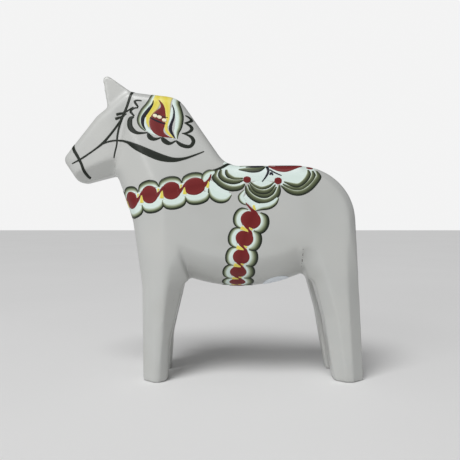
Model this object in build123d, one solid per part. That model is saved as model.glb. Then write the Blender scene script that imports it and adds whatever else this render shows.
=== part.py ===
from build123d import *
import math
import os

# A carved and painted wooden horse, standing on four legs and looking along -X. Its blank is glued up from
# pine: three layers side by side (left, centre and right), and each layer from upright staves. The blank is
# sawn to the horse's outline, then carved with a knife. Millimetres; +Z up; the origin is on the ground,
# under the middle of the horse. Left is -Y.

# ---- Driving dimensions -------------------------------------------------------------------------------
HORSE_HEIGHT = 250.0          # ground to ear tips
CENTRE_BOARD = 23.0           # thickness of the centre layer, which is also the gap between left and right legs
STOCK_WIDTH = 90.0            # the sawn blank, before its sides are carved
SHOULDER_JOINT = -12.0        # glue lines between the staves of the side layers, by where they stand along X
HAUNCH_JOINT = 73.0
CENTRE_FRONT_JOINT = -40.0    # the centre layer's glue lines are staggered from those of the side layers
CENTRE_REAR_JOINT = 45.0
HEAD_ROUND = 6.0              # how far the knife rounds the edges
SHOULDER_ROUND = 8.0
BACK_ROUND = 8.0
HAUNCH_ROUND = 8.0
LEG_FACET = 7.0               # flat cut down the outer edges of the legs
GAP_TOP = 81.5                # highest point of the arch between left and right legs
GAP_SPRING = 75.5             # where that arch begins
LABEL_DIAMETER = 22.0
LABEL_THICKNESS = 0.3

# ---- Outline, seen from the side: (x, z, corner radius) ------------------------------------------------
OUTLINE = [
    (-125.05, 181.4, 6.0),    # nose
    (-110.6, 160.5, 7.0),     # chin
    (-79.0, 169.0, 6.0),      # throat
    (-65.2, 132.0, 60.0),     # breast
    (-56.8, 76.0, 80.0),
    (-55.9, 0.0, 0.0),        # front hooves
    (-36.0, 0.0, 0.0),
    (-34.0, 32.0, 60.0),
    (-22.0, 82.5, 7.0),       # behind the front legs
    (22.0, 72.5, 60.0),       # lowest point of the belly
    (82.0, 84.5, 7.0),        # before the hind legs
    (91.0, 52.0, 60.0),
    (99.7, 0.0, 0.0),         # hind hooves
    (123.8, 0.0, 0.0),
    (114.3, 174.8, 45.0),     # rump
    (12.0, 174.5, 20.0),      # withers
    (-27.0, 231.6, 20.0),     # crest
    (-70.2, 237.2, 10.0),     # poll
    (-95.8, 216.8, 9.0),      # brow
]
# One ear from the side, up to its rounded tip
EAR_OUTLINE = [
    (-92.0, 254.5, 3.5),      # tip
    (-85.5, 220.0, 0.0),
    (-62.0, 220.0, 0.0),
    (-62.0, 233.5, 0.0),
]
# One ear from the front: (distance from the middle of the horse, z)
EAR_FRONT = [(1.0, 215.0), (3.2, 231.0), (8.6, 262.0), (13.4, 262.0), (18.0, 232.0), (19.0, 215.0)]
# Half the horse's width at a height, as (half width, z)
SIDE_CURVE = [(34.2, -5.0), (36.5, 60.0), (37.5, 110.0), (36.0, 150.0), (31.5, 180.0), (26.0, 210.0), (20.0, 245.0)]
# Half the width seen from above, as (half width, x): the chest and neck narrow forwards, and the head is narrower
BODY_PLAN = [(12.0, -132.0), (15.5, -115.0), (18.6, -98.0), (21.0, -84.0), (24.5, -72.0), (30.0, -58.0),
             (36.0, -42.0), (41.0, -25.0), (43.0, 0.0), (43.0, 90.0), (43.0, 140.0)]
HEAD_PLAN = [(12.0, -132.0), (15.5, -115.0), (18.4, -98.0), (20.3, -84.0), (20.8, -70.0), (20.8, -55.0)]
JAW_CUT = [(-104.2, 17.0, 172.8), (-83.2, 19.8, 180.2), (-93.0, 9.0, 165.0)]   # flat cut under each cheek, (x, y, z)
NECK_JOINT = [(-80.5, 169.0), (-62.0, 239.0)]   # the slanting glue line from throat to poll, as (x, z)
# Long flat knife cuts down the outer corners of the legs, from the ground up: the height, then where the cut leaves
# the side of the leg and where it leaves the corner, each as (x, distance from the middle of the horse)
FRONT_LEG_CUTS = [
    [(-2.0, (-46.4, 34.0), (-56.0, 26.5)), (76.0, (-45.8, 35.6), (-57.0, 27.0)), (105.0, (-48.0, 34.8), (-59.5, 27.6)),
     (128.0, (-54.0, 33.0), (-63.0, 28.5))],
    [(-2.0, (-41.0, 34.3), (-34.5, 27.8)), (16.0, (-40.5, 34.8), (-34.0, 28.3)), (45.0, (-38.7, 35.8), (-31.5, 28.5)),
     (74.0, (-35.8, 36.6), (-24.5, 26.5)), (88.0, (-33.8, 36.9), (-16.0, 28.0)), (104.0, (-30.0, 37.6), (-13.0, 37.0))],
]
HIND_LEG_CUTS = [
    [(-2.0, (108.5, 34.3), (98.5, 25.5)), (16.0, (106.5, 34.8), (97.0, 26.0)), (52.0, (101.0, 36.2), (91.0, 27.0)),
     (82.0, (92.3, 36.9), (78.4, 24.5)), (95.0, (88.8, 37.2), (74.5, 30.0)), (110.0, (84.5, 37.7), (74.0, 37.4))],
    [(-2.0, (113.6, 34.4), (124.0, 25.5)), (16.0, (112.8, 34.8), (123.0, 26.0)), (75.0, (109.2, 36.7), (120.0, 27.5)),
     (105.0, (108.2, 37.5), (118.5, 31.5)), (128.0, (108.5, 38.0), (117.0, 36.5))],
]
# The underside of the belly: an ellipse across the horse, swung along a wide arc from the front to the hind legs
BELLY_HALF_WIDTH = 38.2
BELLY_DEPTH = 32.0
BELLY_LOW = (24.0, 74.6)      # lowest point, as (x, z)
BELLY_SWING = 130.0           # radius of the arc
BELLY_CUT = [(-11.5, 62.0), (-28.0, 111.0), (70.0, 111.0), (83.5, 62.0)]   # from the front legs to the hind legs
LABEL_X = 53.5
LABEL_TURN = 18.5             # degrees round the belly from its lowest line


def corner_arc(before, corner, after, radius):
    """The arc that rounds a corner, tangent to both of its sides."""
    back = (before - corner).normalized()
    ahead = (after - corner).normalized()
    half_angle = math.radians(back.get_angle(ahead)) / 2
    middle = (back + ahead).normalized()
    centre = corner + middle * (radius / math.sin(half_angle))
    reach = radius / math.tan(half_angle)
    return ThreePointArc(corner + back * reach, centre - middle * radius, corner + ahead * reach)


def sawn(rows, start, width):
    """An outline with rounded corners, sawn through stock of a width from Y = start."""
    points = [Vector(x, start, z) for x, z, _ in rows]
    starts, ends, edges = [], [], []
    for i, (_, _, radius) in enumerate(rows):
        if radius:
            arc = corner_arc(points[i - 1], points[i], points[(i + 1) % len(rows)], radius)
            edges.append(arc)
            starts.append(arc @ 0)
            ends.append(arc @ 1)
        else:
            starts.append(points[i])
            ends.append(points[i])
    for i in range(len(rows)):
        edges.append(Line(ends[i], starts[(i + 1) % len(rows)]))
    return extrude(make_face(edges), width, dir=(0, 1, 0))


def between_curves(rows, place, distance, direction):
    """The space between a curve and its mirror image, extruded."""
    left = Spline(*[place(-half, along) for half, along in rows])
    right = Spline(*[place(half, along) for half, along in rows])
    face = make_face([left, right, Line(left @ 0, right @ 0), Line(left @ 1, right @ 1)])
    return extrude(face, distance, dir=direction)


def column(start, end):
    """The space between two glue lines."""
    return Box(end - start, 120, 320, align=(Align.MIN, Align.CENTER, Align.MIN)).moved(Location((start, 0, -10)))


def largest(shape):
    return max(shape.solids(), key=lambda solid: solid.volume)


def beside_joint(point, joints):
    if any(abs(point.X - joint) < 0.01 for joint in joints):
        return True
    (low_x, low_z), (high_x, high_z) = NECK_JOINT
    run, rise = high_x - low_x, high_z - low_z
    return abs((point.X - low_x) * rise - (point.Z - low_z) * run) / math.hypot(run, rise) < 0.05


def carved_edges(block, joints, above=1.0, below=400.0):
    """The edges round the left and right faces of a block, without those at its glue lines and on the ground."""
    shared = {}
    for face in block.faces():
        if abs(face.normal_at().Y) > 0.6:
            for edge in face.edges():
                middle = edge.center()
                key = (round(middle.X, 3), round(middle.Y, 3), round(middle.Z, 3))
                shared.setdefault(key, []).append(edge)
    edges = [found[0] for found in shared.values() if len(found) == 1]
    return [edge for edge in edges
            if above < edge.center().Z < below and not beside_joint(edge.center(), joints)]


# ---- The blank, sawn and shaped --------------------------------------------------------------------------
blank = sawn(OUTLINE, -STOCK_WIDTH / 2, STOCK_WIDTH)
sides = between_curves(SIDE_CURVE, lambda half, z: Vector(-160, half, z), 320, (1, 0, 0))
body_plan = between_curves(BODY_PLAN, lambda half, x: Vector(x, half, -10), 300, (0, 0, 1))
head_plan = between_curves(HEAD_PLAN, lambda half, x: Vector(x, half, -10), 300, (0, 0, 1))

(throat_x, throat_z), (poll_x, poll_z) = NECK_JOINT
neck_slant = math.degrees(math.atan2(poll_x - throat_x, poll_z - throat_z))
ahead_of_neck = Box(200, 200, 400, align=(Align.MAX, Align.CENTER, Align.CENTER)).rotate(Axis.Y, neck_slant)
ahead_of_neck = ahead_of_neck.moved(Location((throat_x, 0, throat_z)))
body = largest((blank & sides & body_plan) - ahead_of_neck)

# ---- Head, with two ears ---------------------------------------------------------------------------------
head = largest(blank & head_plan & ahead_of_neck)
head = fillet(carved_edges(head, []), HEAD_ROUND)
chin, cheek, under = (Vector(*corner) for corner in JAW_CUT)
below_jaw = Plane(origin=chin, x_dir=cheek - chin, z_dir=(cheek - chin).cross(under - chin))
jaw_waste = extrude(below_jaw * Rectangle(160, 160), 40)
head = largest(head - jaw_waste - mirror(jaw_waste, Plane.XZ))
ear_front = make_face(Polyline(*[Vector(-160, y, z) for y, z in EAR_FRONT], close=True))
ear = sawn(EAR_OUTLINE, 0, 30) & extrude(ear_front, 160, dir=(1, 0, 0)) & ahead_of_neck
scoop = Cylinder(8.0, 60).rotate(Axis.Y, -10.5).moved(Location((-96.6, 11.2, 243)))
ear = largest(ear - scoop)
head = head + ear + mirror(ear, Plane.XZ)

# ---- Shoulders with the front legs, barrel, haunches with the hind legs ------------------------------------
joints = [SHOULDER_JOINT, HAUNCH_JOINT]
shoulder = largest(body & column(-160, SHOULDER_JOINT))
shoulder = chamfer(carved_edges(shoulder, joints, below=72), LEG_FACET - 1)
shoulder = fillet(carved_edges(shoulder, joints, above=72), SHOULDER_ROUND)
barrel = largest(body & column(SHOULDER_JOINT, HAUNCH_JOINT))
barrel = fillet(carved_edges(barrel, joints, above=120), BACK_ROUND)
haunch = largest(body & column(HAUNCH_JOINT, 160))
haunch = chamfer(carved_edges(haunch, joints, below=80), LEG_FACET)
haunch = fillet(carved_edges(haunch, joints, above=80), HAUNCH_ROUND)


def belly_form(extra):
    """A wheel with the belly's section as its rim."""
    low_x, low_z = BELLY_LOW
    wide = BELLY_HALF_WIDTH + extra
    deep = BELLY_DEPTH + extra
    above = BELLY_SWING - BELLY_DEPTH
    across = Plane(origin=(low_x, 0, low_z + BELLY_DEPTH), x_dir=(0, 1, 0), z_dir=(1, 0, 0))
    section = Ellipse(wide, deep) + Rectangle(2 * wide, above, align=(Align.CENTER, Align.MIN))
    return revolve(across * section, Axis((low_x, 0, low_z + BELLY_SWING), (0, 1, 0)), 360)


belly = belly_form(0)
cut_face = make_face(Polyline(*[Vector(x, -60, z) for x, z in BELLY_CUT], close=True))
under_belly = extrude(cut_face, 120, dir=(0, 1, 0)) - belly
shoulder = largest(shoulder - under_belly)
barrel = largest(barrel - under_belly)
haunch = largest(haunch - under_belly)

# ---- Knife cuts down the legs ------------------------------------------------------------------------------
def knife_waste(rows):
    """What one long cut takes off the left leg: three-cornered sections, joined from the ground up."""
    sections = []
    for z, (ridge_x, ridge_y), (corner_x, corner_y) in rows:
        ridge = Vector(ridge_x, -ridge_y, z)
        corner = Vector(corner_x, -corner_y, z)
        reach = (corner - ridge).normalized() * 12
        start = ridge - reach
        end = corner + reach
        sections.append(make_face(Polyline(start, end, Vector(end.X, start.Y, z), close=True)))
    return loft(sections, ruled=True)


for cut in FRONT_LEG_CUTS:
    waste = knife_waste(cut)
    shoulder = largest(shoulder - waste - mirror(waste, Plane.XZ))
for cut in HIND_LEG_CUTS:
    waste = knife_waste(cut)
    haunch = largest(haunch - waste - mirror(waste, Plane.XZ))

# ---- Gap between left and right legs -----------------------------------------------------------------------
half_gap = CENTRE_BOARD / 2
gap_face = make_face([
    Line((-half_gap, -20), (half_gap, -20)),
    Line((half_gap, -20), (half_gap, GAP_SPRING)),
    ThreePointArc((half_gap, GAP_SPRING), (0, GAP_TOP), (-half_gap, GAP_SPRING)),
    Line((-half_gap, GAP_SPRING), (-half_gap, -20)),
])
gap = extrude(Plane(origin=(-160, 0, 0), x_dir=(0, 1, 0), z_dir=(1, 0, 0)) * gap_face, 320)
shoulder = shoulder - gap
haunch = haunch - gap

# ---- Split along the glue lines into the blocks that were glued up -----------------------------------------
left_layer = Box(400, 100, 400, align=(Align.CENTER, Align.MAX, Align.CENTER)).moved(Location((0, -half_gap, 100)))
right_layer = mirror(left_layer, Plane.XZ)
centre_layer = Box(400, CENTRE_BOARD, 400).moved(Location((0, 0, 100)))

parts = {}
for side, layer in (("left", left_layer), ("right", right_layer)):
    parts[f"{side}_head_block"] = largest(head & layer)
    parts[f"{side}_shoulder_block"] = largest(shoulder & layer)
    parts[f"{side}_barrel_block"] = largest(barrel & layer)
    parts[f"{side}_haunch_block"] = largest(haunch & layer)
centre = (head & centre_layer) + (shoulder & centre_layer) + (barrel & centre_layer) + (haunch & centre_layer)
parts["centre_head_block"] = largest(centre & column(-160, CENTRE_FRONT_JOINT))
parts["centre_barrel_block"] = largest(centre & column(CENTRE_FRONT_JOINT, CENTRE_REAR_JOINT))
parts["centre_rump_block"] = largest(centre & column(CENTRE_REAR_JOINT, 160))

# ---- Paper label on the belly ------------------------------------------------------------------------------
turn = math.radians(LABEL_TURN)
low_x, low_z = BELLY_LOW
label_y = -BELLY_HALF_WIDTH * math.sin(turn)
label_z = low_z + BELLY_DEPTH * (1 - math.cos(turn)) + (LABEL_X - low_x) ** 2 / (2 * BELLY_SWING)
tilt = math.degrees(math.atan2(BELLY_DEPTH * math.sin(turn), BELLY_HALF_WIDTH * math.cos(turn)))
rise = math.degrees(math.asin((LABEL_X - low_x) / BELLY_SWING))
punch = Cylinder(LABEL_DIAMETER / 2, 20).rotate(Axis.X, -tilt).rotate(Axis.Y, -rise)
punch = punch.moved(Location((LABEL_X, label_y, label_z)))
parts["belly_label"] = largest((belly_form(LABEL_THICKNESS) - belly) & punch)

os.makedirs("parts", exist_ok=True)
for name, part in parts.items():
    part.label = name
    export_step(part, f"parts/{name}.step")
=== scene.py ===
import math

import bmesh
import bpy
import numpy as np
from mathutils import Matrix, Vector
from mathutils.bvhtree import BVHTree
from mathutils.kdtree import KDTree


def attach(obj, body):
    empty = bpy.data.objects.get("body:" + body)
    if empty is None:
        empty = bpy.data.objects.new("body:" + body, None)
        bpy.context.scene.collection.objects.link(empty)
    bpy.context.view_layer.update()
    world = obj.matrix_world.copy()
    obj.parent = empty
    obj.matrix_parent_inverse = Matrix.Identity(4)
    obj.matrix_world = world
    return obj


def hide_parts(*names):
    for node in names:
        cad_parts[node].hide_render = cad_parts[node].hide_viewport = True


# A carved and painted dala horse. The pine blocks of the CAD frame are joined, sanded to a hand-carved
# softness and parted again at their glue lines. The brushed ornaments are thin raised strokes of paint on
# that skin. The scene is in metres, and the helpers below take millimetres. The horse looks along -X, and
# its left side is -Y.

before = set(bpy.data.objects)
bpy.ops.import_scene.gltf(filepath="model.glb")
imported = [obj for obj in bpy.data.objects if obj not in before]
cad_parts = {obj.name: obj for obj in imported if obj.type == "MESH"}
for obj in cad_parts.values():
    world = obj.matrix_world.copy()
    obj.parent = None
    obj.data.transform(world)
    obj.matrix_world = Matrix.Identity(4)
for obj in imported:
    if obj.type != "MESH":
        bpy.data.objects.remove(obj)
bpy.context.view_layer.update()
MM = 0.001

# ---- Camera ------------------------------------------------------------------------------------------
camera_data = bpy.data.cameras.new("camera")
camera_data.sensor_width = 36.0
camera_data.lens = 48.1
camera_data.shift_x = 0.0254
camera_data.shift_y = -0.0265
camera_data.clip_start = 0.01
camera = bpy.data.objects.new("camera", camera_data)
camera.location = (0.0055, -0.526, 0.1323)
camera.rotation_euler = (math.radians(90), 0, 0)
bpy.context.scene.collection.objects.link(camera)
bpy.context.scene.camera = camera

# ---- Glue lines of the blank -------------------------------------------------------------------------
# The layers part 0.7 mm nearer the middle than the CAD blocks do. There the cut runs through the open gap
# between the legs and leaves their inner faces whole.
LAYER_JOINT = 10.8            # left and right of the middle
NECK_JOINT = (Vector((-80.5, 0, 169.0)), Vector((-62.0, 0, 239.0)))
SHOULDER_JOINT = -12.0
HAUNCH_JOINT = 73.0
CENTRE_FRONT_JOINT = -40.0
CENTRE_REAR_JOINT = 45.0


def new_object(name, mesh):
    made = bpy.data.objects.new(name, mesh)
    bpy.context.scene.collection.objects.link(made)
    return made


def evaluated_mesh(made):
    """The mesh of an object with its modifiers applied."""
    graph = bpy.context.evaluated_depsgraph_get()
    return bpy.data.meshes.new_from_object(made.evaluated_get(graph))


# ---- The carved skin ---------------------------------------------------------------------------------
def joined_blocks():
    """All pine blocks as one closed shape."""
    body = bmesh.new()
    for name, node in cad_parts.items():
        if name.endswith("_block"):
            body.from_mesh(node.data)
    bmesh.ops.remove_doubles(body, verts=body.verts, dist=0.00001)
    mesh = bpy.data.meshes.new("blank")
    body.to_mesh(mesh)
    body.free()
    return mesh


def growing(value, start, reach, least=0):
    """Grows from a least share at the start to 1 over a reach. A negative reach grows downwards."""
    return min(max((value - start) / reach, least), 1)


def softness(point):
    """How much a spot is sanded: much on the body and neck, little on the legs, ears and muzzle."""
    x, _, z = point
    leg = growing(z, 62, 34)
    ear = growing(z, 243, -10, least=0.1) if x < -60 and z > 225 else 1
    muzzle = growing(x, -96, 26, least=0.18) if z > 150 else 1
    sole = 0.5 * growing(z, 4, -3)
    return max(leg * ear * muzzle, sole)


def sanded(mesh):
    """The skin of the joined blocks, remeshed evenly and rubbed soft."""
    rough = new_object("skin", mesh)
    remesh = rough.modifiers.new("remesh", "REMESH")
    remesh.mode = "VOXEL"
    remesh.voxel_size = 1.2 * MM
    skin_mesh = evaluated_mesh(rough)
    rough.modifiers.clear()
    rough.data = skin_mesh
    group = rough.vertex_groups.new(name="sanded")
    for vertex in skin_mesh.vertices:
        group.add([vertex.index], softness(vertex.co / MM), "REPLACE")
    light = rough.modifiers.new("knife_edges", "SMOOTH")
    light.factor = 0.5
    light.iterations = 4
    deep = rough.modifiers.new("sanding", "SMOOTH")
    deep.factor = 0.5
    deep.iterations = 22
    deep.vertex_group = "sanded"
    soft = evaluated_mesh(rough)
    rough.modifiers.clear()
    rough.data = soft
    return rough


skin = sanded(joined_blocks())
skin_shape = bmesh.new()
skin_shape.from_mesh(skin.data)
skin_shape.normal_update()
skin_tree = BVHTree.FromBMesh(skin_shape)
skin_normals = KDTree(len(skin_shape.verts))
for vertex in skin_shape.verts:
    skin_normals.insert(vertex.co, vertex.index)
skin_normals.balance()
NORMALS = [vertex.normal.copy() for vertex in skin_shape.verts]


def skin_normal(point):
    """The skin's own smooth normal near a point."""
    total = Vector()
    for _, index, distance in skin_normals.find_n(point, 4):
        total += NORMALS[index] / (distance + 1e-6)
    return total.normalized()


# ---- Blocks of the blank -----------------------------------------------------------------------------
BARE_PINE = 1    # the material slot of a block's glue faces; its painted skin has slot 0


def block(name, cuts):
    """One glued-in block: the skin on the inner side of each cut (point, outward direction), closed."""
    shape = skin_shape.copy()
    for point, outward in cuts:
        geometry = shape.verts[:] + shape.edges[:] + shape.faces[:]
        found = bmesh.ops.bisect_plane(shape, geom=geometry, dist=1e-7, plane_co=point * MM,
                                       plane_no=outward, clear_outer=True)
        cut_edges = [item for item in found["geom_cut"] if isinstance(item, bmesh.types.BMEdge)]
        rim = [edge for edge in cut_edges if edge.is_boundary]
        filled = bmesh.ops.triangle_fill(shape, edges=rim, use_beauty=True, use_dissolve=False,
                                         normal=outward)
        for item in filled["geom"]:
            if isinstance(item, bmesh.types.BMFace):
                item.material_index = BARE_PINE
                item.smooth = False
                if item.normal.dot(outward) < 0:
                    item.normal_flip()
    shape.normal_update()
    mesh = bpy.data.meshes.new(name)
    shape.to_mesh(mesh)
    shape.free()
    mesh.shade_smooth()
    normals = []
    for polygon in mesh.polygons:
        for corner in polygon.vertices:
            if polygon.material_index == BARE_PINE:
                normals.append(polygon.normal.copy())
            else:
                normals.append(skin_normal(mesh.vertices[corner].co))
    mesh.normals_split_custom_set(normals)
    made = new_object(name, mesh)
    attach(made, "root")
    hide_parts(name.removeprefix("carved_"))
    return made


FRONT = Vector((-1, 0, 0))
BACK = Vector((1, 0, 0))
neck_line = (NECK_JOINT[1] - NECK_JOINT[0]).normalized()
ahead = Vector((-neck_line.z, 0, neck_line.x))
SIDES = {"left": Vector((0, -1, 0)), "right": Vector((0, 1, 0))}


def at(x):
    return Vector((x, 0, 0))


blocks = []
for side, outward in SIDES.items():
    inner = (outward * LAYER_JOINT, -outward)
    staves = {
        "head": [(NECK_JOINT[0], -ahead)],
        "shoulder": [(NECK_JOINT[0], ahead), (at(SHOULDER_JOINT), BACK)],
        "barrel": [(at(SHOULDER_JOINT), FRONT), (at(HAUNCH_JOINT), BACK)],
        "haunch": [(at(HAUNCH_JOINT), FRONT)],
    }
    blocks += [block(f"carved_{side}_{stave}_block", [inner, *cuts]) for stave, cuts in staves.items()]
middle = [(outward * LAYER_JOINT, outward) for outward in SIDES.values()]
staves = {
    "head": [(at(CENTRE_FRONT_JOINT), BACK)],
    "barrel": [(at(CENTRE_FRONT_JOINT), FRONT), (at(CENTRE_REAR_JOINT), BACK)],
    "rump": [(at(CENTRE_REAR_JOINT), FRONT)],
}
blocks += [block(f"carved_centre_{stave}_block", [*middle, *cuts]) for stave, cuts in staves.items()]

# ---- Charts: places on the skin, in millimetres ------------------------------------------------------
BEYOND_THE_HORSE = 200


def cast(start, direction):
    """The outermost point of the skin along a ray, in metres."""
    far = start + direction * BEYOND_THE_HORSE
    place, _, _, _ = skin_tree.ray_cast(far * MM, -direction)
    if place is None:
        place, _, _, _ = skin_tree.find_nearest(far * MM)
    return place


ALONG, UP = 0, 2    # axes


class Wrap:
    """Unrolls the horse round an axis: one coordinate runs along the axis, the other round the skin.

    level is (axis, value). At that value the second coordinate equals the height, or the place along the
    horse. From there it counts as a distance over the skin. Each section is measured once a millimetre."""

    def __init__(self, place, turned, level):
        self.place = place
        self.turned = turned
        self.level = level
        self.sections = {}

    def section(self, along):
        if along not in self.sections:
            centre = self.place(along)
            angles = np.linspace(0.0, 180.0, 121)
            points = [cast(centre, self.turned(math.radians(a))) for a in angles]
            steps = [0.0] + [(b - a).length / MM for a, b in zip(points, points[1:])]
            run = np.cumsum(steps)
            self.sections[along] = (angles, run - self.reach(points, run))
        return self.sections[along]

    def reach(self, points, run):
        """How far round the skin the level lies."""
        axis, level = self.level
        values = np.array([p[axis] / MM for p in points])
        first = int(np.argmax(values < level)) if values[0] > level else int(np.argmax(values > level))
        share = (values[first - 1] - level) / (values[first - 1] - values[first])
        return run[first - 1] + share * (run[first] - run[first - 1])

    def point(self, along, around):
        low = math.floor(along)
        share = along - low
        axis, level = self.level
        sign = -1 if axis == UP else 1
        angle = 0.0
        for station, weight in ((low, 1 - share), (low + 1, share)):
            angles, run = self.section(station)
            angle += weight * float(np.interp(sign * (around - level), run, angles))
        return cast(self.place(along), self.turned(math.radians(angle)))


def over_back(angle):
    return Vector((0, -math.sin(angle), math.cos(angle)))


def round_chest(angle):
    return Vector((-math.cos(angle), -math.sin(angle), 0))


barrel_chart = Wrap(lambda x: Vector((x, 0, 128)), over_back, (UP, 150.0))
neck_chart = Wrap(lambda x: Vector((x, 0, 190)), over_back, (UP, 205.0))
muzzle_chart = Wrap(lambda x: Vector((x, 0, 178)), over_back, (UP, 180.0))
chest_chart = Wrap(lambda z: Vector((-22, 0, z)), round_chest, (ALONG, -22.0))


def on_flank(x, h):
    """Flank, belly and back. x runs along the horse, and h is the height, counted on over the skin."""
    return barrel_chart.point(x, h)


def on_neck(x, h):
    return neck_chart.point(x, h)


def on_muzzle(x, h):
    return muzzle_chart.point(x, h)


def on_chest(t, z):
    """Chest and shoulder. t is the place along the horse, counted on round the front of the chest."""
    return chest_chart.point(z, t)


def on_side(x, z):
    """Straight from the left."""
    return cast(Vector((x, 0, z)), Vector((0, -1, 0)))


# ---- Brush strokes -----------------------------------------------------------------------------------
def through(points, share):
    """A smooth curve through points, at a share of the way from the first to the last."""
    last = len(points) - 1
    place = min(max(share, 0), 1) * last
    i = min(int(place), last - 1)
    t = place - i
    a, b, c, d = (points[max(i - 1, 0)], points[i], points[i + 1], points[min(i + 2, last)])
    return tuple(
        0.5 * (2 * q + (r - p) * t + (2 * p - 5 * q + 4 * r - s) * t * t + (3 * q - p - 3 * r + s) * t ** 3)
        for p, q, r, s in zip(a, b, c, d)
    )


SAMPLES = 60                   # steps in which a stroke's length is measured
ROW_LENGTH = 1.1               # length of one row of a stroke's mesh
FEWEST_ROWS, MOST_ROWS = 12, 70
TANGENT_STEP = 0.01            # share of a stroke over which its direction is taken
LEAST_WIDTH = 0.05
COAT_STEP = 0.025              # by which crossing strokes of a piece lie over one another
EDGE_SHARE = 0.06              # part of the half width in which a stroke falls off to the skin
EDGE_DEPTH = 0.12              # how far the rim of a stroke sinks into the skin
NEAR_MIDDLE = 0.2              # distance from the middle at which a stroke joins its mirror image
GOLDEN_SHARE = 0.6180339       # spreads the strokes over the streaks of the bristles
STREAK_FIELD = 40              # how long that field of streaks is
STREAK_UNIT = 10               # millimetres of stroke to one unit of that field


class Paint:
    """One colour of one ornament, as raised strokes on both sides of the horse, in one piece."""

    def __init__(self, name, slot, material, lift, relief=0.08):
        self.name, self.slot, self.material = name, slot, material
        self.lift, self.relief = lift, relief
        self.shape = bmesh.new()
        self.shape.loops.layers.uv.new("brush")
        self.count = 0

    def stroke(self, chart, line, widths, loaded=1):
        """A stroke along chart points. loaded is 1 or -1, for the side of its travel with the dark paint."""
        rows = [(*point, width) for point, width in zip(line, widths)]
        samples = [through(rows, i / SAMPLES) for i in range(SAMPLES + 1)]
        steps = [math.dist(p[:2], q[:2]) for p, q in zip(samples, samples[1:])]
        length = sum(steps)
        along = max(FEWEST_ROWS, min(MOST_ROWS, math.ceil(length / ROW_LENGTH)))
        across = 6 + 2 * math.ceil(max(widths) / 4)
        shares = np.interp(np.linspace(0, length, along + 1), np.cumsum([0.0] + steps),
                           np.linspace(0, 1, SAMPLES + 1))
        made = bmesh.ops.create_grid(self.shape, x_segments=along, y_segments=across, size=0.5,
                                     calc_uvs=True)
        self.count += 1
        seed = (self.count * GOLDEN_SHARE) % 1 * STREAK_FIELD
        coat = self.lift + COAT_STEP * (self.count % 3)
        uv = self.shape.loops.layers.uv["brush"]
        faces = {face for vertex in made["verts"] for face in vertex.link_faces}
        columns = np.linspace(-1, 1, across - 1)
        spread = np.concatenate([[-1.0], columns * (1 - EDGE_SHARE), [1.0]])
        places, rows_of = {}, {}
        for vertex in made["verts"]:
            u = round((vertex.co.x + 0.5) * along)
            v = round((vertex.co.y + 0.5) * across)
            places[vertex] = (u, v)
            rows_of.setdefault(u, []).append(vertex)
        for u, row in rows_of.items():
            here = through(rows, shares[u])
            after = through(rows, min(shares[u] + TANGENT_STEP, 1))
            before = through(rows, max(shares[u] - TANGENT_STEP, 0))
            ahead_u, ahead_v = after[0] - before[0], after[1] - before[1]
            size = math.hypot(ahead_u, ahead_v) or 1.0
            for vertex in row:
                v = places[vertex][1]
                offset = spread[v] * max(here[2], LEAST_WIDTH) / 2
                point = chart(here[0] - ahead_v / size * offset, here[1] + ahead_u / size * offset)
                meets_other_side = abs(point.y) < NEAR_MIDDLE * MM
                edge = (v in (0, across) or u in (0, along)) and not meets_other_side
                height = coat + self.relief * math.sqrt(max(0, 1 - spread[v] ** 2))
                if edge:
                    height = -EDGE_DEPTH
                vertex.co = point + skin_normal(point) * (height * MM)
                if meets_other_side:
                    vertex.co.y = 0
        outward = 0.0
        for face in faces:
            face.normal_update()
            outward += face.calc_area() * face.normal.dot(skin_normal(face.calc_center_median()))
        if outward < 0:
            bmesh.ops.reverse_faces(self.shape, faces=list(faces))
        for face in faces:
            face.smooth = True
            for loop in face.loops:
                u, v = places[loop.vert]
                share = 0.5 + 0.5 * spread[v]
                loop[uv].uv = (seed + u / along * length / STREAK_UNIT, share if loaded > 0 else 1 - share)

    def finish(self):
        """Adds the other side's mirror image and makes the piece."""
        other = self.shape.copy()
        bmesh.ops.scale(other, vec=(1, -1, 1), verts=other.verts)
        bmesh.ops.reverse_faces(other, faces=other.faces)
        spare = bpy.data.meshes.new("spare")
        other.to_mesh(spare)
        other.free()
        self.shape.from_mesh(spare)
        bpy.data.meshes.remove(spare)
        mesh = bpy.data.meshes.new(self.name)
        self.shape.to_mesh(mesh)
        self.shape.free()
        mesh.materials.append(self.material)
        made = new_object(self.name, mesh)
        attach(made, "root")


# ---- Shader nodes and paints -------------------------------------------------------------------------
def surface(name, roughness):
    """A new material, with its nodes and links."""
    material = bpy.data.materials.new(name)
    material.use_nodes = True
    nodes = material.node_tree.nodes
    nodes["Principled BSDF"].inputs["Roughness"].default_value = roughness
    return material, nodes, material.node_tree.links


def on_object(nodes):
    """Where a point lies on its object, to hang a texture on."""
    return nodes.new("ShaderNodeTexCoord").outputs["Object"]


def stretched(nodes, links, source, scale, place=(0, 0, 0)):
    mapping = nodes.new("ShaderNodeMapping")
    mapping.inputs["Location"].default_value = place
    mapping.inputs["Scale"].default_value = scale
    links.new(source, mapping.inputs["Vector"])
    return mapping.outputs["Vector"]


def noise(nodes, links, source, scale, detail):
    texture = nodes.new("ShaderNodeTexNoise")
    texture.inputs["Scale"].default_value = scale
    texture.inputs["Detail"].default_value = detail
    links.new(source, texture.inputs["Vector"])
    return texture.outputs["Fac"]


def shades(nodes, links, source, stops):
    """The colour at a value, from stops of (position, colour)."""
    ramp = nodes.new("ShaderNodeValToRGB")
    elements = ramp.color_ramp.elements
    while len(elements) < len(stops):
        elements.new(0.5)
    for element, (position, colour) in zip(elements, stops):
        element.position = position
        element.color = (*colour, 1)
    links.new(source, ramp.inputs["Fac"])
    return ramp.outputs["Color"]


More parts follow.
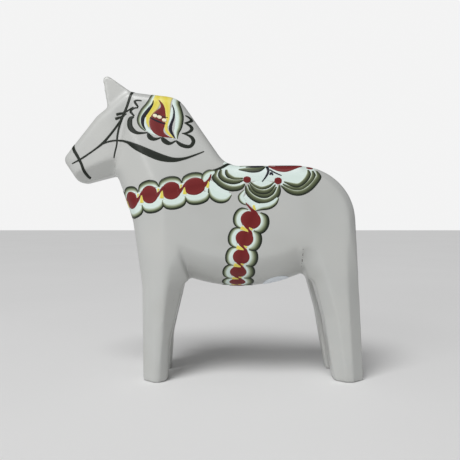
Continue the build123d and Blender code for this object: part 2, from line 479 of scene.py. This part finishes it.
def combined(nodes, links, operation, first, second, third=None):
    """One sum over two or three values. Each is a socket or a plain number."""
    step = nodes.new("ShaderNodeMath")
    step.operation = operation
    for socket, value in zip(step.inputs, (first, second, third)):
        if isinstance(value, (int, float)):
            socket.default_value = value
        elif value is not None:
            links.new(value, socket)
    return step.outputs[0]


def blended(nodes, links, share, first, second):
    """The first colour, a socket, passing over to the second, plain values, by a share."""
    mix = nodes.new("ShaderNodeMix")
    mix.data_type = "RGBA"
    links.new(share, mix.inputs["Factor"])
    links.new(first, mix.inputs["A"])
    mix.inputs["B"].default_value = (*second, 1)
    return mix.outputs["Result"]


def uneven(nodes, links, heights):
    """Bumps laid over one another, each (height, strength, distance in metres), wired to the shader."""
    before = None
    for height, strength, distance in heights:
        bump = nodes.new("ShaderNodeBump")
        bump.inputs["Strength"].default_value = strength
        bump.inputs["Distance"].default_value = distance
        links.new(height, bump.inputs["Height"])
        if before is not None:
            links.new(before, bump.inputs["Normal"])
        before = bump.outputs["Normal"]
    links.new(before, nodes["Principled BSDF"].inputs["Normal"])


def brushed_paint(name, stops, streaks=0.25):
    """Hand-brushed oil paint. Its colours run across the stroke, and bristle streaks run along it."""
    material, nodes, links = surface(name, 0.38)
    shader = nodes["Principled BSDF"]
    shader.inputs["Specular IOR Level"].default_value = 0.3
    uv = nodes.new("ShaderNodeUVMap")
    uv.uv_map = "brush"
    bristles = noise(nodes, links, stretched(nodes, links, uv.outputs["UV"], (0.5, 11.0, 1.0)), 1.6, 4.0)
    split = nodes.new("ShaderNodeSeparateXYZ")
    links.new(uv.outputs["UV"], split.inputs["Vector"])
    swayed = combined(nodes, links, "MULTIPLY_ADD", bristles, streaks, split.outputs["Y"])
    across = combined(nodes, links, "SUBTRACT", swayed, streaks / 2)
    links.new(shades(nodes, links, across, stops), shader.inputs["Base Color"])
    uneven(nodes, links, [(bristles, 0.25, 0.0001)])
    return material


WHITE = (0.7, 0.82, 0.77)
PALE_OLIVE = (0.36, 0.41, 0.28)
OLIVE = (0.095, 0.118, 0.06)
GREEN_BLACK = (0.012, 0.018, 0.01)
petal_paint = brushed_paint("white_loaded_with_green", [(0.0, WHITE), (0.57, WHITE), (0.7, PALE_OLIVE),
                                                        (0.81, OLIVE), (0.89, GREEN_BLACK)],
                            streaks=0.1)
heavy_petal_paint = brushed_paint("white_heavy_with_green", [(0.0, WHITE), (0.34, WHITE),
                                                             (0.54, PALE_OLIVE), (0.72, OLIVE),
                                                             (0.86, GREEN_BLACK)],
                                  streaks=0.14)
leaf_paint = brushed_paint("olive_loaded_with_black", [(0.0, WHITE), (0.12, (0.5, 0.56, 0.44)),
                                                       (0.27, (0.16, 0.185, 0.105)),
                                                       (0.5, (0.088, 0.104, 0.055)),
                                                       (0.72, (0.042, 0.052, 0.027)), (0.84, GREEN_BLACK)],
                           streaks=0.2)
line_paint = brushed_paint("green_black_line", [(0.0, (0.014, 0.02, 0.012)), (0.5, (0.009, 0.013, 0.008)),
                                                (1.0, (0.012, 0.017, 0.01))])
red_paint = brushed_paint("wine_red", [(0.0, (0.2, 0.022, 0.022)), (0.5, (0.155, 0.011, 0.012)),
                                       (1.0, (0.2, 0.02, 0.02))])
yellow_paint = brushed_paint("yellow", [(0.0, (0.8, 0.72, 0.2)), (0.5, (0.76, 0.64, 0.07)),
                                        (1.0, (0.82, 0.74, 0.24))])
navy_paint = brushed_paint("blue_black", [(0.0, (0.006, 0.006, 0.02)), (0.5, (0.004, 0.004, 0.012)),
                                          (1.0, (0.008, 0.007, 0.02))])
white_paint = brushed_paint("mint_white", [(0.0, WHITE), (0.5, (0.73, 0.83, 0.8)), (1.0, WHITE)])
cream_paint = brushed_paint("cream", [(0.0, (0.8, 0.75, 0.5)), (0.5, (0.9, 0.86, 0.68)),
                                      (1.0, (0.8, 0.75, 0.5))])

# ---- Bridle and rein ---------------------------------------------------------------------------------
bridle = Paint("bridle_and_rein", "green_paint", line_paint, 0.2)
bridle.stroke(on_neck, [(-63.5, 262), (-64, 250), (-64.8, 243), (-65.8, 237), (-67.2, 232), (-69, 226),
                        (-71, 220.5), (-73, 215)],
              [2.6, 2.6, 2.6, 2.5, 2.3, 2.1, 2.0, 2.0])
bridle.stroke(on_side, [(-71, 221), (-74, 213.5), (-76, 207), (-77.5, 199.5), (-78, 192.5), (-79.5, 186),
                        (-80.5, 181)],
              [1.6, 2.2, 1.7, 1.6, 1.4, 1.3, 0.9])
bridle.stroke(on_side, [(-74, 213.5), (-78.5, 207), (-84, 200), (-89.5, 194), (-96, 189), (-102, 185),
                        (-108.5, 181), (-116.5, 177)],
              [1.6, 1.8, 1.9, 2.1, 1.5, 1.5, 1.5, 0.9])
bridle.stroke(on_muzzle, [(-116.5, 208), (-116.5, 201), (-116, 195), (-114.8, 189.6), (-112.6, 185.6)],
              [2.7, 2.8, 2.8, 2.8, 2.4])
bridle.stroke(on_side, [(-114.2, 188), (-111.4, 183.5), (-108, 177), (-105.6, 170.5), (-103, 166.6),
                        (-101, 165.2)],
              [2.8, 2.5, 2.3, 2.6, 2.4, 1.8])
bridle.stroke(on_side, [(-78.8, 217), (-75.8, 217.8), (-72.5, 218.5), (-68, 220.6), (-63.5, 223.2)],
              [2.2, 2.3, 1.6, 1.3, 0.8])
bridle.stroke(on_side, [(-79.6, 213.5), (-76.8, 214.4), (-73.5, 215.6), (-69.5, 218)],
              [2.2, 2.2, 1.5, 0.8])
bridle.stroke(on_side, [(-91.5, 192.5), (-86.5, 194.5), (-81, 195.7), (-75.5, 195.7), (-69, 194),
                        (-61.5, 190), (-51, 185), (-41, 181), (-31, 179), (-22, 180), (-13, 183),
                        (-5.5, 186)],
              [1.1, 1.4, 1.4, 1.5, 2.1, 5.0, 6.2, 6.0, 4.0, 2.2, 1.4, 0.7])
bridle.finish()

# ---- Flower on the mane ------------------------------------------------------------------------------
# The petals and the yellow start at the crest, where each meets the same stroke of the other side.
flower_petals = Paint("mane_flower_petals", "white_green_paint", heavy_petal_paint, 0.12)
flower_petals.stroke(on_neck, [(-47, 261), (-47.5, 240), (-49, 231), (-51.5, 225.5), (-56, 219.5),
                               (-58.5, 212.5), (-57, 207), (-53, 202.5)],
                     [3, 3.5, 4.5, 5, 5.2, 5, 3.6, 0.8], loaded=-1)
flower_petals.stroke(on_neck, [(-28, 261), (-28.5, 238), (-29, 227), (-27.5, 221.5), (-26, 214),
                               (-26.7, 206.5), (-28.2, 201.5), (-28, 195.5)],
                     [5.5, 6, 6.4, 6.6, 7, 6.2, 4.5, 0.8], loaded=1)
flower_petals.finish()
flower_white = Paint("mane_flower_white", "white_green_paint", white_paint, 0.11)
flower_white.stroke(on_neck, [(-53.5, 215), (-54.3, 209), (-51.8, 204), (-45.8, 200.7), (-38.7, 199.5),
                              (-31, 196)],
                    [2, 2.8, 3, 3, 2.4, 0.8])
flower_white.stroke(on_neck, [(-31.5, 223), (-33.2, 214), (-35.5, 206)], [2.6, 2.6, 1])
flower_white.finish()
flower_yellow = Paint("mane_flower_yellow", "yellow_paint", yellow_paint, 0.16)
flower_yellow.stroke(on_neck, [(-44, 261), (-44, 236), (-44.5, 229.5), (-46.5, 224), (-49.5, 219),
                               (-51.8, 214), (-52, 210), (-50.5, 205.5)],
                     [4, 6, 7, 7, 5.4, 3.4, 2.2, 0.6])
flower_yellow.stroke(on_neck, [(-37.5, 261), (-37.5, 238), (-37.5, 230), (-36.5, 224), (-35.7, 218),
                               (-35.7, 213), (-36.5, 209), (-36.8, 204), (-34.2, 200), (-30.5, 196.5)],
                     [11, 11.5, 10, 6, 4, 3.2, 2.8, 2.4, 1.8, 0.5])
flower_yellow.finish()
flower_red = Paint("mane_flower_red", "red_paint", red_paint, 0.2)
flower_red.stroke(on_neck, [(-44, 230), (-40.8, 225.6), (-40, 222), (-41.5, 218), (-43.2, 214),
                            (-44, 209), (-43.2, 204), (-40.4, 200.2), (-35.7, 198), (-31, 196.6)],
                  [0.5, 2, 4.5, 9.3, 12.8, 13.3, 10.5, 5, 1.6, 0.4])
flower_red.finish()
flower_navy = Paint("mane_flower_lines", "navy_paint", navy_paint, 0.26)
flower_navy.stroke(on_neck, [(-47.8, 229.6), (-48.3, 225.6), (-51.6, 220.6), (-55.4, 215), (-56.2, 211),
                             (-55.5, 207), (-53, 203)],
                   [0.5, 1.5, 3, 3.3, 3, 2, 0.4])
flower_navy.stroke(on_neck, [(-32.4, 225.6), (-30.7, 220), (-30.9, 214), (-32.7, 209), (-33.4, 204),
                             (-31.7, 200), (-29.2, 196)],
                   [0.5, 1.3, 1.6, 2.3, 2.6, 1.8, 0.4])
flower_navy.stroke(on_neck, [(-46.8, 218.3), (-41.7, 215.3), (-34.7, 213.8)], [1.2, 1.2, 0.5])
flower_navy.stroke(on_neck, [(-50.8, 214.6), (-45.8, 211.8), (-40.7, 209.6), (-36.2, 208.3)],
                   [0.7, 1.5, 1.3, 0.4])
flower_navy.finish()
flower_dots = Paint("mane_flower_dots", "yellow_paint", cream_paint, 0.3, relief=0.5)
for x, z in ((-46, 215.6), (-42.4, 214.4), (-38.4, 211.8)):
    flower_dots.stroke(on_neck, [(x - 2, z + 0.7), (x - 1.2, z + 0.4), (x, z), (x + 1.2, z - 0.4),
                                 (x + 2, z - 0.7)],
                       [0.6, 2.5, 3.1, 2.5, 0.6])
flower_dots.finish()
FULL_BRUSH, BRUSH_TIP = 1.15, 0.25    # how a loaded brush widens a line: by a share, and by its tip
flower_edge = Paint("mane_flower_scallops", "green_paint", line_paint, 0.14)
for line, widths in (
    ([(-56.8, 228.4), (-60.8, 228.9), (-63.1, 228), (-61.3, 225), (-59.6, 222.8)], [0.6, 1, 1.6, 1.3, 0.5]),
    ([(-59.6, 222.6), (-63.3, 222.1), (-66.1, 220), (-65, 217.6), (-62.6, 215.1)],
     [0.6, 1.1, 1.8, 1.5, 0.6]),
    ([(-62.8, 214.9), (-66.2, 213), (-66.4, 207), (-64, 203.4), (-60.3, 201.2), (-55.8, 201),
      (-51.3, 201.4)],
     [0.7, 3.2, 3.8, 3.3, 2.1, 1.3, 0.5]),
    ([(-51.8, 201.5), (-50.3, 198), (-47.3, 196), (-43.7, 196.2), (-40.7, 197.4)],
     [0.8, 3.2, 2.7, 1.4, 0.5]),
    ([(-40.7, 198), (-38.7, 195), (-35.2, 192.6), (-32.2, 192.6), (-28.7, 194.7)],
     [0.8, 3.2, 2.9, 1.6, 0.6]),
    ([(-29.2, 194.9), (-25.2, 191.4), (-20.6, 189.7), (-16.8, 190), (-14.6, 193.5), (-16.2, 197.3),
      (-20.1, 199.6), (-24.6, 201)],
     [0.8, 2.5, 2.5, 2.4, 2.6, 2.1, 1.1, 0.4]),
    ([(-24, 200.4), (-19.1, 201.5), (-16.1, 204), (-17.3, 207), (-22.1, 209.8)], [0.5, 1.5, 2.4, 1.9, 0.5]),
    ([(-22.6, 209.4), (-18.6, 210.4), (-16.3, 212.4), (-18.1, 214.6), (-21.9, 216.3)],
     [0.5, 1.4, 2.1, 1.6, 0.5]),
):
    flower_edge.stroke(on_neck, line, [FULL_BRUSH * width + BRUSH_TIP for width in widths])
flower_edge.finish()


# ---- Garlands ----------------------------------------------------------------------------------------
GROUND_OVERRUN = 7.5         # how far the white ground goes on past the last beads
BEAD_SWELL = (1.07, 1.05)    # how far the paint of a bead runs out, in width and height


class Garland:
    """A row of round red beads on a winding stem, between two rows of double-loaded petals.

    high and low belong to the petals above and below the row. Each is (how far a petal reaches past its
    bead, how far out the notches between the petals lie)."""

    def __init__(self, name, chart, high, low):
        self.chart, self.high, self.low = chart, high, low
        self.ground = Paint(f"{name}_ground", "white_green_paint", white_paint, 0.05, relief=0.03)
        self.petals = Paint(f"{name}_petals", "white_green_paint", petal_paint, 0.1)
        self.heavy_petals = Paint(f"{name}_upper_petals", "white_green_paint", heavy_petal_paint, 0.1)
        self.yellow = Paint(f"{name}_yellow", "yellow_paint", yellow_paint, 0.2)
        self.beads = Paint(f"{name}_beads", "red_paint", red_paint, 0.24)

    def place(self, centre, turn, along, up):
        """The chart point that lies along and up from a centre, in a row turned by an angle."""
        cos, sin = math.cos(turn), math.sin(turn)
        return (centre[0] + cos * along - sin * up, centre[1] + sin * along + cos * up)

    def petal(self, centre, turn, reach, tall, side):
        """A petal bowed over a bead from notch to notch: side is 1 above the row and -1 below it."""
        past, notch = self.high if side > 0 else self.low
        inner, outer = tall / 2 - 2.4, tall / 2 + past
        middle, width = (inner + outer) / 2, outer - inner
        line, widths = [], []
        for step, share in ((-90, 0.2), (-70, 0.46), (-40, 0.92), (0, 1), (40, 0.92), (70, 0.46), (90, 0.2)):
            angle = math.radians(step)
            up = notch - 0.6 + (middle - notch + 0.6) * math.cos(angle)
            line.append(self.place(centre, turn, reach * math.sin(angle) - 0.8 * min(side, 0), side * up))
            widths.append(width * share)
        row = self.heavy_petals if side > 0 else self.petals
        row.stroke(self.chart, line, widths, loaded=side)

    def bead(self, centre, turn, wide, tall):
        wide, tall = BEAD_SWELL[0] * wide, BEAD_SWELL[1] * tall
        line = [self.place(centre, turn, wide / 2 * t, 0) for t in (-1, -0.86, -0.5, 0, 0.5, 0.86, 1)]
        self.beads.stroke(self.chart, line,
                          [1.6, 0.54 * tall, 0.87 * tall, tall, 0.87 * tall, 0.54 * tall, 1.6])

    def stem(self, start, turn, pitch, tall):
        """From low on one bead up to the top of the next, with yellow in the corners."""
        for paint, shares, widths in (
            (self.beads, ((0.2, -0.12), (0.36, -0.09), (0.5, 0.04), (0.62, 0.17), (0.78, 0.18)),
             [0.55 * tall, 0.26 * tall, 1.7, 0.2 * tall, 0.4 * tall]),
            (self.yellow, ((0.6, 0.12), (0.57, -0.08), (0.53, -0.36)), [0.8, 2.3, 3.8]),
            (self.yellow, ((0.4, 0.02), (0.43, 0.14), (0.47, 0.24)), [0.8, 1.4, 1.8]),
        ):
            line = [self.place(start, turn, along * pitch, up * tall) for along, up in shares]
            paint.stroke(self.chart, line, widths)

    def run(self, rows):
        """rows: bead centres with the bead's width and height."""
        ground = []
        for i, (a, b, wide, tall) in enumerate(rows):
            after = rows[min(i + 1, len(rows) - 1)]
            before = rows[max(i - 1, 0)]
            turn = math.atan2(after[1] - before[1], after[0] - before[0])
            reach = math.dist(after[:2], before[:2]) / (4 if 0 < i < len(rows) - 1 else 2) - 0.7
            ground.append(self.place((a, b), turn, 0, (self.high[1] - self.low[1]) / 2))
            self.petal((a, b), turn, reach, tall, 1)
            self.petal((a, b), turn, reach, tall, -1)
            self.bead((a, b), turn, wide, tall)
            if i < len(rows) - 1:
                pitch = math.dist((a, b), after[:2])
                self.stem((a, b), math.atan2(after[1] - b, after[0] - a), pitch, tall)
        first, second, last = Vector(ground[0]), Vector(ground[1]), Vector(ground[-1])
        lead_in = (second - first).normalized() * GROUND_OVERRUN
        run_out = (last - Vector(ground[-2])).normalized() * GROUND_OVERRUN
        ground = [tuple(first - lead_in), *ground, tuple(last + run_out)]
        broad = self.high[1] + self.low[1]
        self.ground.stroke(self.chart, ground, [broad] * len(ground))

    def finish(self):
        for paint in (self.ground, self.petals, self.heavy_petals, self.yellow, self.beads):
            paint.finish()


chest = Garland("chest_garland", on_chest, (4.6, 4.3), (8.4, 6.7))
chest.run([(-98, 142, 12, 13), (-83, 143.5, 12, 13.5), (-67.5, 146.5, 12.5, 14), (-50, 151, 13.5, 14.5),
           (-32, 154, 14, 14.5), (-13.5, 157.5, 16, 14)])
chest.petals.stroke(on_chest, [(-1.5, 157), (1, 151.5), (6, 148.5), (11.5, 148.5), (16, 151.5)],
                    [2.5, 8, 9.5, 7.5, 1.5], loaded=-1)
chest.petals.stroke(on_chest, [(-6.5, 161), (-5, 165), (-1.5, 167.8), (3.4, 169.6)], [3, 6.8, 7, 2])
chest.ground.stroke(on_chest, [(-6, 161), (-2, 157.5), (3, 155), (9, 152.8), (14.5, 152)],
                    [7, 10, 9.5, 7, 3])
chest.beads.stroke(on_chest, [(-8, 158.5), (-4.6, 159.6), (-1.8, 163), (0, 168)], [7, 3.6, 2.0, 0.8])
chest.yellow.stroke(on_chest, [(-2.5, 162), (-2.6, 159), (-3.4, 156)], [0.8, 2.0, 2.6])
chest.finish()

girth = Garland("girth_garland", lambda a, b: on_flank(b, -a), (7.2, 5.4), (6.2, 4.8))
girth.run([(-130.6, 31.3, 13, 16.4), (-115.9, 26.3, 11.6, 14.4), (-101.2, 23.7, 11.2, 13.4),
           (-87.2, 21.5, 11.2, 13.4), (-72.6, 21.2, 11.2, 13.4), (-58.0, 21.2, 11.2, 13.4)])
girth.ground.stroke(girth.chart, [(-151, 27), (-147, 32), (-144, 38), (-144.5, 46)], [5, 9, 11, 6])
girth.petals.stroke(girth.chart, [(-154.5, 26.8), (-149.3, 23.4), (-145.4, 25.2), (-142.4, 29.5)],
                    [1.5, 4.8, 4.8, 1], loaded=-1)
girth.petals.stroke(girth.chart, [(-137.5, 33.5), (-141.2, 39.5), (-142.6, 45.5), (-145.3, 50),
                                  (-149, 53.3)],
                    [1, 6.5, 7.5, 6.5, 2], loaded=-1)
girth.beads.stroke(girth.chart, [(-145, 26.8), (-142.2, 29), (-139.2, 31.7), (-136.2, 34), (-132.5, 34.5)],
                   [0.6, 1.3, 2.0, 4.5, 9])
girth.yellow.stroke(girth.chart, [(-142.6, 33.6), (-140.3, 34), (-138.2, 35.3)], [1.4, 2.2, 1.0])
girth.finish()


# ---- Saddle ------------------------------------------------------------------------------------------
# A white ground lies over the back. Three fans of layered olive strokes edge it, and leaves lie along the
# edge of the back.
saddle_white = Paint("saddle_white", "white_green_paint", white_paint, 0.06, relief=0.03)
for line, widths in (
    ([(30, 174), (30, 182), (30, 190), (30, 198), (30, 208)], [26, 26, 26, 26, 26]),
    ([(54, 174), (54, 182), (54, 190), (54, 198), (54, 208)], [26, 26, 26, 26, 26]),
    ([(76, 174), (76, 182), (76, 190), (76, 198), (76, 208)], [20, 20, 20, 20, 20]),
    ([(11, 174), (13.5, 177), (16, 181), (18, 185)], [5, 8, 7, 4]),
    ([(4, 169), (14, 170), (30, 170), (50, 170), (70, 171), (84, 172)], [4, 13, 17, 17, 15, 6]),
    ([(3.5, 166), (9, 163.5), (16, 162.5), (23, 163), (28, 164)], [4, 11, 13, 11, 5]),
    ([(28.5, 158), (34, 155.8), (41, 155), (48, 155.8), (53, 158.5)], [3, 12, 16, 13, 4]),
    ([(55, 161), (61, 159.5), (69, 159.5), (76, 162.5), (82, 166.5)], [3, 9, 12, 12, 7]),
):
    saddle_white.stroke(on_flank, line, widths)
saddle_white.finish()
saddle_fans = Paint("saddle_fans", "green_paint", leaf_paint, 0.13)
for line, widths in (
    ([(12, 172), (12.7, 167.4), (17.4, 164), (22, 163.6), (26, 164.4)], [1.5, 3.8, 3.8, 3, 1]),
    ([(8, 172), (7.2, 166.6), (10.7, 163), (16.4, 161.3), (21.5, 161.5), (26, 162.8)],
     [1.5, 4.4, 4.6, 4.6, 3.6, 1]),
    ([(5.5, 172), (2.3, 166), (5.6, 161.1), (10.8, 157.4), (17, 155.8), (23.4, 156.9), (26.8, 160)],
     [1.5, 4.8, 5.2, 5.4, 5.2, 4.4, 1]),
    ([(31, 161.5), (34.2, 158.2), (39.8, 156), (45.8, 157.7), (50.6, 161.4)], [0.8, 2.8, 3.4, 2.8, 0.8]),
    ([(30, 160.5), (35, 154.8), (41.2, 153), (46.4, 154.4), (51.6, 159.5)], [0.8, 3.8, 4.2, 3.8, 0.8]),
    ([(29, 159.5), (32.9, 153.4), (40.4, 150.3), (47, 151.5), (52.3, 157.8)], [0.8, 4.2, 4.8, 4.6, 1]),
    ([(27.4, 158.6), (28.9, 152.9), (33.5, 148.2), (39.8, 145.6), (45.8, 146.1), (51.4, 149.8),
      (53.5, 153.9), (54.2, 159)],
     [1, 4, 4.8, 5, 5, 4.8, 4.2, 1]),
    ([(57.2, 161.6), (64.6, 158.9), (69.8, 158.6), (74.9, 162.4), (78, 167.8), (77.6, 173.5)],
     [0.8, 3.6, 4, 4.2, 4, 1.4]),
    ([(56.2, 160), (62.8, 156.4), (68.6, 155.5), (72.9, 156.2), (79.1, 161.5), (81.7, 166.2), (81.4, 173)],
     [0.8, 4, 4.4, 4.6, 4.8, 4.4, 1.4]),
    ([(55.3, 158.5), (60.9, 154.4), (67, 152.3), (73.1, 153), (79.3, 156.9), (84.7, 163.3), (86, 166.9),
      (84.4, 173)],
     [1, 4.2, 4.8, 5, 5, 5, 4.6, 1.6]),
):
    saddle_fans.stroke(on_flank, line, widths, loaded=-1)
saddle_fans.stroke(on_flank, [(21, 171.5), (26, 171.4), (33, 171.6), (39, 173), (44, 176)],
                   [0.8, 3.4, 6.4, 6.6, 1.6], loaded=-1)
saddle_fans.stroke(on_flank, [(22, 175), (30, 178.5), (37, 180), (42, 179), (45, 177)],
                   [0.8, 5, 7.4, 6, 1.6], loaded=1)
saddle_fans.finish()
saddle_edge = Paint("saddle_front_edge", "green_paint", line_paint, 0.24)
saddle_edge.stroke(on_flank, [(0.5, 170.6), (5, 171.6), (10, 174), (14.5, 179), (17, 188), (17.5, 198),
                              (17.5, 208)],
                   [0.9, 1.7, 2.4, 2.4, 2.2, 2.2, 2.2])
saddle_edge.finish()
saddle_red = Paint("saddle_red", "red_paint", red_paint, 0.26)
for x, h, wide, tall in ((28.5, 163, 6.6, 5.4), (53.3, 162, 6.4, 5.6), (79.5, 175.5, 6, 3.6)):
    dot = [(x + wide / 2 * t, h - 0.2 * t) for t in (-1, -0.9, -0.7, -0.35, 0, 0.35, 0.7, 0.9, 1)]
    widths = [tall * share for share in (0.16, 0.44, 0.72, 0.95, 1, 0.95, 0.72, 0.44, 0.16)]
    saddle_red.stroke(on_flank, dot, widths)
saddle_red.stroke(on_flank, [(45, 175.5), (52, 173.2), (59, 172.8), (66, 174.2), (74, 176.5)],
                  [0.8, 5.6, 7.4, 5.4, 0.8])
saddle_red.stroke(on_flank, [(45.5, 177), (53, 181), (60, 182.5), (67, 181), (74, 177.5)],
                  [0.8, 6.4, 8.4, 6, 0.8])
saddle_red.finish()
saddle_lines = Paint("saddle_lines", "navy_paint", navy_paint, 0.36)
for line, widths in (
    ([(44.2, 176), (45.3, 172), (45.3, 168.8), (43.2, 164.8), (40.1, 160.8)], [2.4, 2.2, 1.8, 1.3, 0.6]),
    ([(46.2, 171.5), (50.5, 168.8), (56.6, 166)], [1.2, 1.0, 0.6]),
    ([(46.7, 166.6), (47.5, 168.2), (48.3, 168), (49.3, 166.4)], [1.2, 1.8, 1.8, 1.2]),
    ([(51, 176.6), (57, 177.2), (64, 177.2), (70, 177)], [0.6, 3, 3.2, 0.6]),
    ([(27, 174.2), (33, 174.8), (39, 175.4), (43, 176)], [0.6, 3, 3.2, 0.8]),
):
    saddle_lines.stroke(on_flank, line, widths)
saddle_lines.finish()

bpy.data.objects.remove(skin)

# ---- Body paint, bare wood, paper and floor ----------------------------------------------------------
PINHOLE_WAVER = 1.2 * MM       # how far the pinholes stray along the horse
PINHOLE_REACH = 0.35 * MM      # half the width of their row
PINHOLE_MIDDLE = 100 * MM      # height of the middle of the row
PINHOLE_ROW = 15 * MM


def grey_body_paint():
    """Satin light grey over filler, with faint clouds of tone, soft knife marks, rare specks and a row of
    pinholes along the glue line before the hind leg."""
    material, nodes, links = surface("grey_body_paint", 0.36)
    where = on_object(nodes)
    shader = nodes["Principled BSDF"]
    shader.inputs["Coat Weight"].default_value = 0.3
    shader.inputs["Coat Roughness"].default_value = 0.3
    clouds = noise(nodes, links, where, 17.0, 2.0)
    tone = shades(nodes, links, clouds,
                  [(0.3, (0.485, 0.49, 0.47)), (0.5, (0.52, 0.53, 0.515)), (0.72, (0.545, 0.55, 0.53))])
    specks = nodes.new("ShaderNodeTexVoronoi")
    specks.inputs["Scale"].default_value = 46.0
    links.new(where, specks.inputs["Vector"])
    rare = combined(nodes, links, "LESS_THAN", specks.outputs["Distance"], 0.014)
    split = nodes.new("ShaderNodeSeparateXYZ")
    links.new(where, split.inputs["Vector"])
    waver = noise(nodes, links, where, 220.0, 1.0)
    line = combined(nodes, links, "MULTIPLY_ADD", waver, PINHOLE_WAVER, split.outputs["X"])
    beside = combined(nodes, links, "COMPARE", line, HAUNCH_JOINT * MM + PINHOLE_WAVER / 2, PINHOLE_REACH)
    level = combined(nodes, links, "COMPARE", split.outputs["Z"], PINHOLE_MIDDLE, PINHOLE_ROW / 2)
    holes = combined(nodes, links, "GREATER_THAN", noise(nodes, links, where, 640.0, 0.0), 0.56)
    row = combined(nodes, links, "MULTIPLY", combined(nodes, links, "MULTIPLY", beside, level), holes)
    pits = combined(nodes, links, "MAXIMUM", rare, row)
    links.new(blended(nodes, links, pits, tone, (0.12, 0.11, 0.1)), shader.inputs["Base Color"])
    strokes = noise(nodes, links, stretched(nodes, links, where, (1.0, 1.0, 0.35)), 900.0, 2.0)
    knife = noise(nodes, links, stretched(nodes, links, where, (1.0, 1.0, 0.6)), 42.0, 1.0)
    uneven(nodes, links, [(knife, 0.22, 0.0012), (strokes, 0.12, 0.00008), (pits, -0.5, 0.0002)])
    return material


def bare_pine():
    """Planed pine of the glue faces: year rings drawn out along the upright grain."""
    material, nodes, links = surface("bare_pine", 0.62)
    where = on_object(nodes)
    rings = nodes.new("ShaderNodeTexWave")
    rings.wave_type = "RINGS"
    rings.rings_direction = "Z"
    rings.inputs["Scale"].default_value = 75.0
    rings.inputs["Distortion"].default_value = 3.0
    rings.inputs["Detail"].default_value = 2.0
    rings.inputs["Detail Scale"].default_value = 1.4
    links.new(stretched(nodes, links, where, (1.0, 1.3, 0.06), (0.21, 0.09, 0)), rings.inputs["Vector"])
    tone = shades(nodes, links, rings.outputs["Fac"],
                  [(0.0, (0.66, 0.46, 0.26)), (0.6, (0.58, 0.37, 0.18)), (0.95, (0.4, 0.21, 0.08))])
    links.new(tone, nodes["Principled BSDF"].inputs["Base Color"])
    fibres = noise(nodes, links, stretched(nodes, links, where, (1.0, 1.0, 0.04)), 1400.0, 2.0)
    uneven(nodes, links, [(fibres, 0.25, 0.0001)])
    return material


def label_paper():
    """Coated pale blue-white paper with a faint fibre."""
    material, nodes, links = surface("label_paper", 0.42)
    where = on_object(nodes)
    fibres = noise(nodes, links, where, 1100.0, 3.0)
    tone = shades(nodes, links, fibres, [(0.3, (0.74, 0.79, 0.84)), (0.6, (0.82, 0.87, 0.92))])
    links.new(tone, nodes["Principled BSDF"].inputs["Base Color"])
    uneven(nodes, links, [(fibres, 0.1, 0.00003)])
    return material


def pale_floor():
    """Matt pale grey with hardly any cloud in it."""
    material, nodes, links = surface("pale_floor", 0.75)
    where = on_object(nodes)
    clouds = noise(nodes, links, where, 3.0, 2.0)
    tone = shades(nodes, links, clouds, [(0.3, (0.82, 0.82, 0.82)), (0.7, (0.84, 0.84, 0.84))])
    links.new(tone, nodes["Principled BSDF"].inputs["Base Color"])
    return material


grey, pine = grey_body_paint(), bare_pine()
for made in blocks:
    made.data.materials.append(grey)
    made.data.materials.append(pine)
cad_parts["belly_label"].material_slots[0].material = label_paper()

# ---- Floor and light ---------------------------------------------------------------------------------
floor_shape = bmesh.new()
bmesh.ops.create_grid(floor_shape, x_segments=1, y_segments=1, size=6.0)
floor_mesh = bpy.data.meshes.new("floor")
floor_shape.to_mesh(floor_mesh)
floor_shape.free()
floor = new_object("floor", floor_mesh)
floor.data.materials.append(pale_floor())


def soft_light(name, kind, place, towards, size, power):
    data = bpy.data.lights.new(name, kind)
    if kind == "SUN":
        data.angle = size
    else:
        data.size = size
    data.energy = power
    light = bpy.data.objects.new(name, data)
    light.location = place
    light.rotation_mode = "QUATERNION"
    light.rotation_quaternion = (Vector(towards) - Vector(place)).to_track_quat("-Z", "Y")
    bpy.context.scene.collection.objects.link(light)


soft_light("ceiling", "SUN", (-0.5, -1.0, 1.7), (0, 0, 0), 0.5, 1.85)
soft_light("key", "AREA", (-0.9, -1.3, 0.8), (0, 0, 0.14), 0.8, 6)
world = bpy.data.worlds.new("studio")
world.use_nodes = True
nodes, links = world.node_tree.nodes, world.node_tree.links
room = nodes["Background"]
room.inputs["Color"].default_value = (1, 1, 1, 1)
room.inputs["Strength"].default_value = 0.22
paper_sweep = nodes.new("ShaderNodeBackground")
paper_sweep.inputs["Color"].default_value = (1, 1, 1, 1)
paper_sweep.inputs["Strength"].default_value = 0.9
seen = nodes.new("ShaderNodeLightPath")
either = nodes.new("ShaderNodeMixShader")
links.new(seen.outputs["Is Camera Ray"], either.inputs["Fac"])
links.new(room.outputs["Background"], either.inputs[1])
links.new(paper_sweep.outputs["Background"], either.inputs[2])
links.new(either.outputs["Shader"], nodes["World Output"].inputs["Surface"])
bpy.context.scene.world = world
bpy.context.scene.view_settings.view_transform = "Standard"
